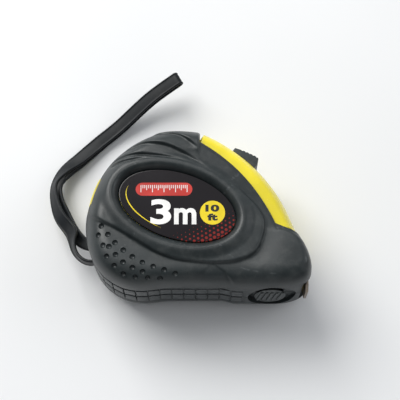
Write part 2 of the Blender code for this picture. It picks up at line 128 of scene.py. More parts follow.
# Curves and outlines on the drawing.


def spline(points, steps, closed=True):
    count = len(points)
    stops = [Vector(p) for p in points]
    made = []
    for i in range(count if closed else count - 1):
        if closed:
            a, b, c, d = (stops[(i + k) % count] for k in (-1, 0, 1, 2))
        else:
            a, b, c, d = stops[max(i - 1, 0)], stops[i], stops[i + 1], stops[min(i + 2, count - 1)]
        for step in range(steps):
            t = step / steps
            made.append(0.5 * (2 * b + (c - a) * t + (2 * a - 5 * b + 4 * c - d) * t**2
                               + (3 * b - a - 3 * c + d) * t**3))
    if not closed:
        made.append(stops[-1])
    return made


def outer_outline(steps=8):
    return [(p.x, p.y) for p in spline(OUTLINE, steps)]


def inwards(outline, depth):
    """An outline moved in along its own normals; depth is a number or a function of a point."""
    made = []
    for i, here in enumerate(outline):
        before, after = outline[i - 1], outline[(i + 1) % len(outline)]
        run, rise = after[0] - before[0], after[1] - before[1]
        size = hypot(run, rise)
        d = depth(here) if callable(depth) else depth
        x, y = here[0] - rise / size * d, here[1] + run / size * d
        if min(hypot(x - p[0], y - p[1]) for p in outline) > abs(d) - 0.08:
            made.append((x, y))
    return made


def bare(point):
    angle = atan2(point[1] - BAND[1], point[0] - BAND[0])
    return point[0] > BAND_TOP + 1.0 and angle > radians(14.4)


def case_outline(grow=0.0):
    return inwards(outer_outline(), lambda p: -grow + (0.0 if bare(p) else RUBBER))


def drawn_in(outline, depth):
    made = []
    for x, y in outline:
        run, rise = x - HEART[0], y - HEART[1]
        keep = 1 - depth / hypot(run, rise)
        made.append((HEART[0] + run * keep, HEART[1] + rise * keep))
    return made


def arc(centre, radius, start, end, steps):
    turns = [radians(start + (end - start) * i / steps) for i in range(steps + 1)]
    return [(centre[0] + radius * cos(t), centre[1] + radius * sin(t)) for t in turns]


def round_outline(centre, radius, steps=32):
    return arc(centre, radius, 0, 360 - 360 / steps, steps - 1)


def on_window(grow, t):
    """The point at angle t on the window's ellipse, grown by so much."""
    u, v = (WINDOW_A + grow) * cos(t), (WINDOW_B + grow) * sin(t)
    return (WINDOW[0] + u * cos(WINDOW_TILT) - v * sin(WINDOW_TILT),
            WINDOW[1] + u * sin(WINDOW_TILT) + v * cos(WINDOW_TILT))


def window_outline(grow, steps=96):
    return [on_window(grow, 2 * pi * i / steps) for i in range(steps)]


def sector(inner, outer, low, high, steps=8):
    return arc(BAND, outer, low, high, steps) + arc(BAND, inner, high, low, steps)


# Meshes.


def new_object(name, mesh):
    made = bpy.data.objects.new(name, mesh)
    bpy.context.scene.collection.objects.link(made)
    return made


def from_bm(name, bm):
    mesh = bpy.data.meshes.new(name)
    bm.to_mesh(mesh)
    bm.free()
    return new_object(name, mesh)


def loft(name, rings, loop=False):
    """Closed solid through rings of points of equal count."""
    bm = bmesh.new()
    made = [[bm.verts.new(at(*p)) for p in ring] for ring in rings]
    if loop:
        made.append(made[0])
    count = len(made[0])
    for low, high in zip(made, made[1:]):
        for i in range(count):
            j = (i + 1) % count
            bm.faces.new((low[i], low[j], high[j], high[i]))
    if not loop:
        bm.faces.new(made[0][::-1])
        bm.faces.new(made[-1])
    bmesh.ops.recalc_face_normals(bm, faces=bm.faces)
    return from_bm(name, bm)


def level(outline, z):
    return [(x, y, z) for x, y in outline]


def prism(name, outline, low, high):
    return loft(name, [level(outline, low), level(outline, high)])


def block(name, low, high):
    return prism(name, [(low[0], low[1]), (high[0], low[1]), (high[0], high[1]), (low[0], high[1])],
                 low[2], high[2])


def rod(name, centre, radius, low, high, steps=32):
    return prism(name, round_outline(centre, radius, steps), low, high)


def turned(name, centre, radii, steps=32):
    return loft(name, [level(round_outline(centre, r, steps), z) for r, z in radii])


def evaluated(thing):
    """The mesh that an object's modifiers make."""
    graph = bpy.context.evaluated_depsgraph_get()
    graph.update()
    return bpy.data.meshes.new_from_object(thing.evaluated_get(graph))


def plain(thing):
    """Keeps the evaluated mesh as the object's own, with no modifiers left."""
    mesh = evaluated(thing)
    thing.modifiers.clear()
    thing.data = mesh
    return thing


def remade(thing, name):
    """Puts a plain object in the place of one that a tree or a curve makes."""
    mesh = evaluated(thing)
    bpy.data.objects.remove(thing)
    return new_object(name, mesh)


def combine(thing, *tools, operation="DIFFERENCE"):
    for tool in tools:
        step = thing.modifiers.new("cut", "BOOLEAN")
        step.operation, step.solver, step.object = operation, "MANIFOLD", tool
        plain(thing)
        bpy.data.objects.remove(tool)
    return thing


def joined(name, things):
    bm = bmesh.new()
    for thing in things:
        bm.from_mesh(thing.data)
        bpy.data.objects.remove(thing)
    return from_bm(name, bm)


def mirrored(thing, move):
    """The piece with each point moved, and its faces turned round to suit."""
    bm = bmesh.new()
    bm.from_mesh(thing.data)
    for v in bm.verts:
        v.co = move(v.co)
    bmesh.ops.reverse_faces(bm, faces=bm.faces)
    bpy.data.objects.remove(thing)
    return from_bm("mirrored", bm)


def turned_over(thing):
    """The piece on the other half, mirrored in the middle plane."""
    return mirrored(thing, lambda p: Vector((p.x, p.y, THICK * MM - p.z)))


def stood_up(thing):
    """Swaps the drawing's Y and Z, for what is drawn in the plane of the blade."""
    return mirrored(thing, lambda p: at(p.x / MM - MIDDLE.x, p.z / MM, p.y / MM - MIDDLE.y))


def soften(thing, width, segments=2, angle=30):
    bm = bmesh.new()
    bm.from_mesh(thing.data)
    bmesh.ops.remove_doubles(bm, verts=bm.verts, dist=1e-7)
    bmesh.ops.dissolve_limit(bm, angle_limit=radians(1), verts=bm.verts, edges=bm.edges)
    bm.to_mesh(thing.data)
    bm.free()
    bevel = thing.modifiers.new("rounded", "BEVEL")
    bevel.width, bevel.segments = width * MM, segments
    bevel.limit_method, bevel.angle_limit = "ANGLE", radians(angle)
    bevel.use_clamp_overlap = True
    return plain(thing)


def finish_piece(thing, name, finish, body, replaces=(), angle=35):
    thing.name = name
    thing.data.materials.clear()
    thing.data.materials.append(finish)
    for face in thing.data.polygons:
        face.use_smooth = True
        face.material_index = 0
    thing.data.set_sharp_from_angle(angle=radians(angle))
    if body:
        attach(thing, body)
    if replaces:
        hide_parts(*replaces)
    return thing


# Shader helpers and the shared effects.


class Nodes:
    """Adds nodes to one tree from left to right."""

    def __init__(self, tree):
        self.tree = tree
        self.column = 0

    def put(self, value, socket):
        if isinstance(value, bpy.types.NodeSocket):
            self.tree.links.new(value, socket)
        else:
            socket.default_value = value

    def add(self, kind, inputs=None, **settings):
        node = self.tree.nodes.new(kind)
        node.location = (self.column, 0)
        self.column += 180
        for name, value in settings.items():
            setattr(node, name, value)
        for key, value in (inputs or {}).items():
            self.put(value, node.inputs[key])
        return node

    def math(self, operation, a, b=0.0, c=0.0, clamp=False):
        return self.add("ShaderNodeMath", {0: a, 1: b, 2: c}, operation=operation, use_clamp=clamp).outputs[0]

    def ramp(self, value, low, high, start=0.0, end=1.0):
        made = self.add("ShaderNodeMapRange", {"Value": value, "From Min": low, "From Max": high,
                                               "To Min": start, "To Max": end})
        made.interpolation_type = "SMOOTHSTEP"
        return made.outputs["Result"]

    def mix(self, factor, a, b):
        made = self.add("ShaderNodeMix", data_type="RGBA")
        for index, value in ((0, factor), (6, a), (7, b)):
            self.put(value, made.inputs[index])
        return made.outputs[2]

    def noise(self, place, scale, detail=3.0, rough=0.55):
        return self.add("ShaderNodeTexNoise", {"Vector": place, "Scale": scale, "Detail": detail,
                                               "Roughness": rough}).outputs["Fac"]

    def place(self):
        return self.add("ShaderNodeTexCoord").outputs["Object"]

    def shared(self, tree, **inputs):
        node = self.add("ShaderNodeGroup", node_tree=tree)
        for name, value in inputs.items():
            self.put(value, node.inputs[name.replace("_", " ")])
        return node.outputs


def effect(name, inputs, outputs):
    """An empty shader group: (Nodes, input sockets, set_output)."""
    tree = bpy.data.node_groups.new(name, "ShaderNodeTree")
    for label, value in inputs:
        made = tree.interface.new_socket(label, in_out="INPUT", socket_type="NodeSocketFloat")
        made.default_value = value
    for label in outputs:
        tree.interface.new_socket(label, in_out="OUTPUT", socket_type="NodeSocketFloat")
    nodes = Nodes(tree)
    source = nodes.add("NodeGroupInput")
    sink = nodes.add("NodeGroupOutput")

    def give(label, value):
        tree.links.new(value, sink.inputs[label])

    return tree, nodes, source.outputs, give


def moulded_grain():
    """Fine moulded texture: a height for bump, and a slow change of tone."""
    tree, n, given, give = effect("moulded grain", (("Scale", 4000.0),), ("Height", "Tone"))
    place = n.place()
    fine = n.noise(place, given["Scale"], 2.0, 0.6)
    slow = n.noise(place, n.math("MULTIPLY", given["Scale"], 0.03), 3.0, 0.5)
    give("Height", fine)
    give("Tone", n.ramp(slow, 0.35, 0.65))
    return tree


def rubbed_edges():
    """Where raised edges have been handled, broken up so that it isn't even."""
    tree, n, given, give = effect("rubbed edges", (("From", 0.52), ("To", 0.6), ("Break Up", 900.0)), ("Mask",))
    sharp = n.add("ShaderNodeNewGeometry").outputs["Pointiness"]
    edge = n.ramp(sharp, given["From"], given["To"])
    broken = n.ramp(n.noise(n.place(), given["Break Up"], 3.0, 0.6), 0.35, 0.6)
    give("Mask", n.math("MULTIPLY", edge, broken))
    return tree


def settled_dust():
    """Light dust on what faces up, thicker in soft patches."""
    tree, n, given, give = effect("settled dust", (("Scale", 260.0), ("Amount", 0.3)), ("Mask",))
    facing = n.add("ShaderNodeSeparateXYZ", {0: n.add("ShaderNodeNewGeometry").outputs["Normal"]}).outputs["Z"]
    patches = n.ramp(n.noise(n.place(), given["Scale"], 5.0, 0.7), 0.42, 0.75)
    up = n.ramp(facing, 0.2, 1.0)
    give("Mask", n.math("MULTIPLY", n.math("MULTIPLY", up, patches), given["Amount"]))
    return tree


def fine_scratches():
    """Short thin marks that run roughly one way."""
    tree, n, given, give = effect("fine scratches", (("Scale", 300.0), ("Amount", 0.5)), ("Mask",))
    turned_place = n.add("ShaderNodeMapping", {"Vector": n.place(), "Rotation": (0.2, 0.1, 0.7),
                                               "Scale": (1.0, 14.0, 1.0)}).outputs[0]
    lines = n.noise(turned_place, given["Scale"], 2.0, 0.4)
    thin = n.math("SUBTRACT", 1.0, n.ramp(n.math("ABSOLUTE", n.math("SUBTRACT", lines, 0.5)), 0.0, 0.012))
    some = n.ramp(n.noise(n.place(), n.math("MULTIPLY", given["Scale"], 0.6), 2.0), 0.55, 0.65)
    give("Mask", n.math("MULTIPLY", n.math("MULTIPLY", thin, some), given["Amount"]))
    return tree


GRAIN, RUBBED, DUST, SCRATCHES = moulded_grain(), rubbed_edges(), settled_dust(), fine_scratches()


def tint(colour, by):
    return tuple(min(1.0, c * by) for c in colour[:3]) + (1.0,)


def surface(name, colour, rough, metallic=0.0, worn=None, wear=0.5, grain=4000.0, depth=0.02, dust=0.12,
            scratched=0.25, pattern=None, **fixed):
    """A finish from the shared effects. pattern(nodes) may return (mask, colour) pairs that lie on the base."""
    made = bpy.data.materials.new(name)
    made.use_nodes = True
    shader = made.node_tree.nodes["Principled BSDF"]
    n = Nodes(made.node_tree)
    n.column = -1800
    colour = (*colour, 1.0)
    grains = n.shared(GRAIN, Scale=grain)
    base = n.mix(grains["Tone"], tint(colour, 0.88), tint(colour, 1.1))
    for mask, over in (pattern(n) if pattern else ()):
        base = n.mix(mask, base, over)
    rubbed = n.math("MULTIPLY", n.shared(RUBBED)["Mask"], wear)
    base = n.mix(rubbed, base, (*(worn or tuple(min(1.0, c * 1.7 + 0.02) for c in colour[:3])), 1.0))
    dusty = n.shared(DUST, Amount=dust)["Mask"]
    base = n.mix(dusty, base, (0.42, 0.42, 0.40, 1.0))
    marks = n.shared(SCRATCHES, Amount=scratched)["Mask"]
    uneven = n.math("MULTIPLY_ADD", grains["Tone"], 0.08, rough - 0.04)
    uneven = n.math("ADD", uneven, n.math("MULTIPLY", dusty, 0.35))
    uneven = n.math("ADD", uneven, n.math("MULTIPLY", marks, 0.2), clamp=True)
    height = n.math("SUBTRACT", grains["Height"], n.math("MULTIPLY", marks, 0.8))
    bump = n.add("ShaderNodeBump", {"Height": height, "Strength": 0.35, "Distance": depth * MM})
    links = made.node_tree.links
    links.new(base, shader.inputs["Base Color"])
    links.new(uneven, shader.inputs["Roughness"])
    links.new(bump.outputs[0], shader.inputs["Normal"])
    shader.inputs["Metallic"].default_value = metallic
    for key, value in fixed.items():
        shader.inputs[key.replace("_", " ")].default_value = value
    shader.location = (n.column + 100, 0)
    return made


# Geometry Nodes trees: one sets a piece out on points, one sets pieces out along a line.


def tree_for(name, inputs):
    tree = bpy.data.node_groups.new(name, "GeometryNodeTree")
    tree.interface.new_socket("Geometry", in_out="INPUT", socket_type="NodeSocketGeometry")
    for label, kind, value in inputs:
        made = tree.interface.new_socket(label, in_out="INPUT", socket_type=kind)
        if value is not None:
            made.default_value = value
    tree.interface.new_socket("Geometry", in_out="OUTPUT", socket_type="NodeSocketGeometry")
    n = Nodes(tree)
    source, sink = n.add("NodeGroupInput"), n.add("NodeGroupOutput")
    return tree, n, source.outputs, sink.inputs["Geometry"]


def lay_pieces(n, given, result, points, **placing):
    """Puts the piece on each point, as real geometry in its finish."""
    piece = n.add("GeometryNodeObjectInfo", {"Object": given["Piece"]})
    placed = n.add("GeometryNodeInstanceOnPoints", {"Points": points, "Instance": piece.outputs["Geometry"],
                                                    **placing})
    real = n.add("GeometryNodeRealizeInstances", {0: placed.outputs[0]})
    done = n.add("GeometryNodeSetMaterial", {"Geometry": real.outputs[0], "Material": given["Finish"]})
    n.tree.links.new(done.outputs[0], result)


def set_out_along():
    """Pieces at an even spacing along a line, turned to follow it, each a little odd in size."""
    tree, n, given, result = tree_for("set out along a line", (
        ("Piece", "NodeSocketObject", None), ("Count", "NodeSocketInt", 8), ("Finish", "NodeSocketMaterial", None),
        ("Odd Size", "NodeSocketFloat", 0.0), ("Seed", "NodeSocketInt", 3)))
    points = n.add("GeometryNodeCurveToPoints", {"Curve": given["Geometry"], "Count": given["Count"]}).outputs
    low, high = (n.math(sign, 1.0, given["Odd Size"]) for sign in ("SUBTRACT", "ADD"))
    odd = n.add("FunctionNodeRandomValue", {"Min": low, "Max": high, "Seed": given["Seed"]})
    upright = n.add("FunctionNodeAxesToRotation", {"Primary Axis": (0.0, 0.0, 1.0),
                                                   "Secondary Axis": points["Tangent"]},
                    primary_axis="Z", secondary_axis="X")
    lay_pieces(n, given, result, points["Points"], Rotation=upright.outputs[0], Scale=odd.outputs[1])
    return tree


def set_out_on_points():
    """One piece on every point of a mesh, turned a little further on each."""
    tree, n, given, result = tree_for("set out on points", (
        ("Piece", "NodeSocketObject", None), ("Turn", "NodeSocketFloat", 0.0),
        ("Finish", "NodeSocketMaterial", None)))
    turn = n.math("MULTIPLY", n.add("GeometryNodeInputIndex").outputs[0], given["Turn"])
    axis = n.add("ShaderNodeCombineXYZ", {"Z": turn}).outputs[0]
    lay_pieces(n, given, result, given["Geometry"], Rotation=axis)
    return tree


def grown(thing, tree, **values):
    """Runs a tree on an object and keeps the result as its plain mesh."""
    modifier = thing.modifiers.new("grown", "NODES")
    modifier.node_group = tree
    for item in tree.interface.items_tree:
        if item.in_out == "INPUT" and item.name in values:
            modifier[item.identifier] = values[item.name]
    return remade(thing, "grown")


def line(points):
    """A poly curve through points of the drawing."""
    curve = bpy.data.curves.new("line", "CURVE")
    curve.dimensions = "3D"
    run = curve.splines.new("POLY")
    run.points.add(len(points) - 1)
    for point, place in zip(run.points, points):
        point.co = (*at(*place), 1.0)
    return new_object("line", curve)


def cloud(points):
    mesh = bpy.data.meshes.new("cloud")
    mesh.from_pydata([at(*p) for p in points], [], [])
    return new_object("cloud", mesh)


def about_origin(thing):
    """Moves a piece drawn at the drawing's zero to the world's origin, to be set out from there."""
    thing.data.transform(Matrix.Translation(-MIDDLE * MM))
    return thing


ALONG, ON_POINTS = set_out_along(), set_out_on_points()


# The rubber jacket's face, as a height above each point of the drawing.


def from_line(x, y, points, steps=10):
    """Signed distance to a smooth line, positive on its left, and how far along it the nearest point is."""
    stops = np.array([tuple(p)[:2] for p in spline([(*p, 0.0) for p in points], steps, closed=False)])
    a, b = stops[:-1], stops[1:]
    best = np.full(x.shape, 1e9)
    signed, part = np.zeros(x.shape), np.zeros(x.shape)
    for i, (p, q) in enumerate(zip(a, b)):
        run = q - p
        t = np.clip(((x - p[0]) * run[0] + (y - p[1]) * run[1]) / (run @ run), 0, 1)
        dx, dy = x - (p[0] + t * run[0]), y - (p[1] + t * run[1])
        far = np.hypot(dx, dy)
        side = np.sign(run[0] * dy - run[1] * dx)
        near = far < best
        best = np.where(near, far, best)
        signed = np.where(near, far * side, signed)
        part = np.where(near, (i + t) / len(a), part)
    return signed, part


def rise(d, width):
    return 0.5 * (1 + np.tanh(d / width))


def bank(d, width, fall):
    """A step that is steep at a line and dies away on the line's positive side."""
    return rise(d, width) * np.exp(-np.maximum(d, 0) / fall)


def between(part, low, high):
    """1 between two shares of a line, easing to 0 at its ends."""
    def ease(v):
        v = np.clip(v, 0, 1)
        return v * v * (3 - 2 * v)

    return ease(part / low) * (1 - ease((part - high) / (1 - high)))


def outside_window(x, y):
    """How much the window's ellipse must grow to reach each point."""
    u = (x - WINDOW[0]) * cos(WINDOW_TILT) + (y - WINDOW[1]) * sin(WINDOW_TILT)
    v = (y - WINDOW[1]) * cos(WINDOW_TILT) - (x - WINDOW[0]) * sin(WINDOW_TILT)
    grow = np.zeros(x.shape)
    for _ in range(12):
        a, b = WINDOW_A + grow, WINDOW_B + grow
        error = (u / a) ** 2 + (v / b) ** 2 - 1
        slope = -2 * (u**2 / a**3 + v**2 / b**3)
        grow = np.maximum(grow - error / slope, -4.0)
    return grow


RING_FOOT = ((-36.0, -2.5), (-31.2, -6.0), (-25.0, -9.2), (-17.2, -14.0), (-12.1, -17.0), (-5.0, -19.2),
             (5.4, -20.2), (12.8, -19.1), (17.9, -16.2), (20.6, -9.2), (20.2, -5.0), (17.2, -0.5), (13.1, 3.4),
             (8.0, 7.2))
COLLAR_TOP = ((-29.5, 11.6), (-26.6, 13.9), (-22.5, 15.0), (-17.6, 15.3), (-10.4, 14.4), (-1.4, 11.6),
              (6.5, 7.6), (12.0, 2.8))
COLLAR_FOOT = ((-28.4, 11.0), (-24.3, 12.7), (-17.6, 13.5), (-8.6, 12.5), (0.4, 9.6), (5.3, 7.0))
LONG_FOLD = ((-27.0, 15.6), (-20.9, 18.4), (-16.9, 19.5), (-10.5, 18.7), (-5.0, 16.2), (0.4, 12.8), (5.0, 9.0))
SHORT_FOLD = ((-15.0, 23.4), (-12.4, 23.2), (-6.9, 22.4), (-3.2, 20.3), (0.4, 17.0))
TOE_CREASE = ((4.0, -19.8), (5.8, -21.4), (7.8, -23.0), (10.8, -26.1), (12.3, -28.5))
BROW = ((19.5, -8.6), (22.5, -8.9), (26.4, -9.2), (30.5, -11.0), (33.0, -12.2))


def squareness(x, y, square):
    """The side is barrelled along the top and the left, and stands square along the base and nose."""
    low = 1 / (1 + np.exp((y + 13.0) / 2.6))
    front = 1 / (1 + np.exp(-(x - 24.0) / 2.0))
    top = 1 / (1 + np.exp(-(y - 9.0) / 2.5)) / (1 + np.exp((x - 1.5) / 0.8))
    return 2.1 - 0.35 * top + square * (1 - low) + low * (3.0 + 1.5 * front)


def face_height(x, y, depth, square=0.0):
    """The jacket's face: a rounded shoulder, the ring at the window, and its folds, grooves and steps."""
    front = 1 / (1 + np.exp(-(x - 26.5) / 1.2)) / (1 + np.exp((y + 7.0) / 1.5))
    toe = 1 / (1 + np.exp((y + 20.5) / 0.8))
    inset = 1 - np.clip(depth / (SHOULDER - 4.2 * front * (1 - toe)), 0, 1)
    base = MID + (FACE - MID) * np.clip(1 - inset**2.2, 0, 1) ** (1 / squareness(x, y, square))
    h = base.copy()
    settled = np.clip(depth / 2.5, 0, 1)
    grow = outside_window(x, y)
    clear = rise(grow - 3.9, 0.5)
    d, part = from_line(x, y, RING_FOOT)
    below = np.maximum(-d, 0)
    h -= 1.5 * rise(-d, 0.32) * np.exp(-((below / 4.6) ** 1.4)) * between(part, 0.06, 0.8)
    for groove, deep, low, high in ((COLLAR_TOP, 1.15, 0.12, 0.7), (COLLAR_FOOT, 1.0, 0.2, 0.75)):
        d, part = from_line(x, y, groove)
        h -= deep * np.exp(-((d / 0.5) ** 2)) * between(part, low, high)
    for fold, steep, (up, up_fall, up_end), (down, down_fall, down_end) in (
            (LONG_FOLD, 0.36, (0.9, 2.6, 0.55), (0.6, 1.6, 0.6)),
            (SHORT_FOLD, 0.34, (0.8, 2.4, 0.75), (0.6, 1.4, 0.8))):
        d, part = from_line(x, y, fold)
        h += settled * up * bank(d, steep, up_fall) * between(part, 0.2, up_end)
        h -= settled * down * bank(-d, steep, down_fall) * between(part, 0.2, down_end)
    h += settled * 0.8 * bank(0.3 - x, 0.14, 4.0) * rise(y - 16.5, 0.8)
    d, part = from_line(x, y, TOE_CREASE)
    h -= 0.8 * bank(-d, 0.25, 3.4) * between(part, 0.15, 0.9)
    d, part = from_line(x, y, BROW)
    h -= 0.75 * bank(d, 0.36, 2.6) * between(part, 0.2, 0.95)
    rim = RIM_R - np.hypot(x - RIM[0], y - RIM[1])
    lip = np.where((x > BAND_TOP) & (y > -9.0), np.exp(-((np.maximum(rim, 0) / 0.55) ** 2)), 0)
    h -= 0.5 * lip
    h = base - 1.3 * np.tanh((base - h) / 1.3) * (h < base) + (h - base) * (h >= base)
    crest = np.where(grow < 2.6, 1.0 - 2.4 * (1 - np.clip(grow / 2.6, 0, 1)) ** 2.4,
                     1.0 - between(np.clip((grow - 2.6) / 3.6, 0, 1) * 0.5, 0.5, 0.999))
    h = np.where(grow < 6.2, np.maximum(h * clear + FACE * (1 - clear), h - 2) + crest, h)
    return np.minimum(h, THICK - 0.02)


SHOULDER = 7.0  # how far in from the edge the face starts to round
REAR_SQUARE = 3.2  # how much squarer the rear half stands
NOSE_END = 35.04
LEDGE, RECESS = 24.0, 0.6  # where the grip zone starts and how deep it lies
DIMPLE_R, DIMPLE_LIFT = 0.92, 0.14
AROUND, ACROSS = ((560, 100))


def grip_zone(x, y):
    """Where the side wall carries the moulded grip, from the rear corner along the base."""
    near_base = 1 / (1 + np.exp((y + 17.5) / 0.8))
    return near_base / (1 + np.exp((x - 14.6) / 0.3))


def waist(x, y):
    """How far the base is drawn up between the rear corner and the toe."""
    return 0.85 * between(np.clip((x + 19.0) / 30.5, 0, 1), 0.32, 0.86) * np.clip((-19.0 - y) / 6.0, 0, 1)


def jacket_skin(square=0.0):
    """Annular solid from the window to the outer edge, with the worked face and a recessed grip zone."""
    outline = np.array(outer_outline(16))
    turns = np.linspace(0, 2 * pi, AROUND, endpoint=False)
    ways = np.stack([np.cos(turns), np.sin(turns)], 1)
    heart = np.array(WINDOW)

    def reach(polygon):
        bearing = np.arctan2(polygon[:, 1] - heart[1], polygon[:, 0] - heart[0])
        far = np.hypot(polygon[:, 0] - heart[0], polygon[:, 1] - heart[1])
        order = np.argsort(bearing)
        return np.interp(turns, bearing[order], far[order], period=2 * pi)

    inner, outer = reach(np.array(window_outline(0.0, 720))), reach(outline)
    flat = ACROSS * 11 // 20
    curved = ACROSS - flat
    shoulder = outer - SHOULDER
    far = [inner + (shoulder - inner) * i / flat for i in range(flat)]
    far += [shoulder + SHOULDER * sin(pi / 2 * i / (curved - 1)) for i in range(curved)]
    far = np.array(far)
    x, y = heart[0] + far * ways[:, 0], heart[1] + far * ways[:, 1]
    depth = np.full(x.shape, 1e9)
    for p, q in zip(outline, np.roll(outline, -1, 0)):
        run = q - p
        t = np.clip(((x - p[0]) * run[0] + (y - p[1]) * run[1]) / (run @ run), 0, 1)
        depth = np.minimum(depth, np.hypot(x - p[0] - t * run[0], y - p[1] - t * run[1]))
    h = face_height(x, y, depth, square)
    h[-1] = MID + 0.8
    rings = [np.stack([x[0], y[0], np.full(AROUND, MID + SPLIT)], 1)]
    rings += [np.stack([x[i], y[i], h[i]], 1) for i in range(ACROSS)]
    edge_x, edge_y = x[-1], y[-1]
    recess = RECESS * grip_zone(edge_x, edge_y)
    keep = 1 - recess / outer
    for i, ring in enumerate(rings):
        ledge = np.clip((LEDGE - ring[:, 2]) / 0.5, 0, 1) * (i > flat)
        ring[:, 0] = heart[0] + (ring[:, 0] - heart[0]) * (1 + (keep - 1) * ledge)
        ring[:, 1] = heart[1] + (ring[:, 1] - heart[1]) * (1 + (keep - 1) * ledge)
    rings.append(np.stack([heart[0] + (edge_x - heart[0]) * keep, heart[1] + (edge_y - heart[1]) * keep,
                           np.full(AROUND, MID + SPLIT)], 1))
    for ring in rings:
        ring[:, 0] = np.minimum(ring[:, 0], NOSE_END)
        ring[:, 1] += waist(ring[:, 0], ring[:, 1])
    return loft("skin", [[tuple(p) for p in ring] for ring in rings], loop=True)


def dimple_tools(finish, square):
    """Balls along the three rows of the thumb rest, to be cut from the face."""
    rows = (((-29.9, -8.1), (-26.9, -11.9), (-23.2, -15.7), (-16.9, -19.9), (-6.9, -23.3), 9),
            ((-27.3, -14.9), (-25.1, -17.6), (-22.9, -19.9), (-19.9, -21.7), (-16.8, -22.9), 5),
            ((-30.8, -11.0), (-29.2, -14.4), (-28.1, -17.8), (-23.5, -22.9), (-19.7, -24.3), (-11.5, -24.6), 8))
    made = []
    for *stops, count in rows:
        ball = about_origin(turned("ball", (0, 0), [(DIMPLE_R * sin(pi * i / 8) + 0.001, -DIMPLE_R * cos(pi * i / 8))
                                                    for i in range(9)], 16))
        run = spline([(*p, 0.0) for p in stops], 8, closed=False)
        xs, ys = np.array([p.x for p in run]), np.array([p.y for p in run])
        drawn = ys - waist(xs, ys)
        depth = np.min([np.hypot(xs - px, drawn - py) for px, py in outer_outline()], 0)
        tops = face_height(xs, drawn, depth, square)
        made.append(grown(line(list(zip(xs, ys, tops + DIMPLE_LIFT))), ALONG, Piece=ball, Count=count, Finish=finish,
                          **{"Odd Size": 0.05}))
        bpy.data.objects.remove(ball)
    return joined("dimples", made)


def grip_blocks(finish):
    """A row of raised blocks on the recessed side wall."""
    low = [p for p in inwards(outer_outline(8), 0.64) if p[1] < -16.6 and p[0] < 12.4]
    low.sort(key=lambda p: p[0] - 0.2 * min(0, p[1] + 26))
    low = [(x, y + waist(x, y)) for x, y in low]
    tile = about_origin(block("tile", (-1.75, -0.6, -2.6), (1.75, 0.6, 2.6)))
    soften(tile, 0.3, 2)
    made = grown(line([(x, y, 20.3) for x, y in low]), ALONG, Piece=tile, Count=14, Finish=finish)
    bpy.data.objects.remove(tile)
    return made


def jacket_cuts(rubber, square):
    """Everything that is taken from one half of the jacket."""
    bed = case_outline(GAP)
    pocket = loft("pocket", [level(o, z) for o, z in (
        (bed, MID - 1), (bed, 20.0), (drawn_in(bed, 0.5), 24.0), (drawn_in(bed, 1.5), 27.6),
        (drawn_in(bed, 3.0), 30.2), (drawn_in(bed, 5.0), SHELL_FACE + 0.1))])
    clear = arc(RIM, RIM_R, 23.2, 58.9, 60) + [(BAND_TOP, 19.8), (BAND_TOP, 40.0), (45.0, 40.0), (45.0, -10.2),
                                               (31.2, -10.2)]
    oval = [(BRAKE[0] + 0.3 + 7.6 * cos(t), MID + 10.4 * sin(t))
            for t in (2 * pi * i / 64 for i in range(64))]
    side = MOUTH_WIDTH / 2 + GAP
    return [
        pocket,
        prism("band_way", clear, -5, THICK + 5),
        block("notch", (-40, -17.9, 9.2), (-28.6, -4.8, 19.9)),
        loft("patch_way", [level([(-40, low), (-29.6, low), (-29.6, high), (-40, high)], z)
                           for low, high, z in ((0.0, 9.4, 10.7), (0.0, 9.4, 23.3), (4.4, 7.6, 28.2))]),
        stood_up(prism("brake_recess", oval, -30.0, -25.08)),
        block("stem_way", (BRAKE[0] - 3.1, -26.0, MID - 4.1), (BRAKE[0] + 3.1, -20.0, MID + 4.1)),
        dimple_tools(rubber, square),
        block("mouth", (MOUTH_X - GAP, -24.4, MID - side), (40, MOUTH_CEILING, MID + side)),
        block("lip", (32.55, -32, MID - side), (40, -24.0, MID + side))]


def jacket_pair(rubber):
    """The two halves of the jacket. The rear one stands squarer, round the screw heads."""
    front, under = (combine(jacket_skin(square), *jacket_cuts(rubber, square)) for square in (0.0, REAR_SQUARE))
    rear = turned_over(under)
    for thing, name in ((front, "grip_jacket_front"), (rear, "grip_jacket_rear")):
        blocks = grip_blocks(rubber)
        if thing is rear:
            blocks = turned_over(blocks)
            combine(thing, joined("ways", [rod("screw_way", centre, 2.2, -1, 6) for centre in SCREWS]))
        finish_piece(thing, name.replace("grip_jacket", "rubber_jacket"), rubber, "case", (name,), 42)
        finish_piece(blocks, name.replace("grip_jacket", "grip_blocks"), rubber, "case")


# The yellow case.


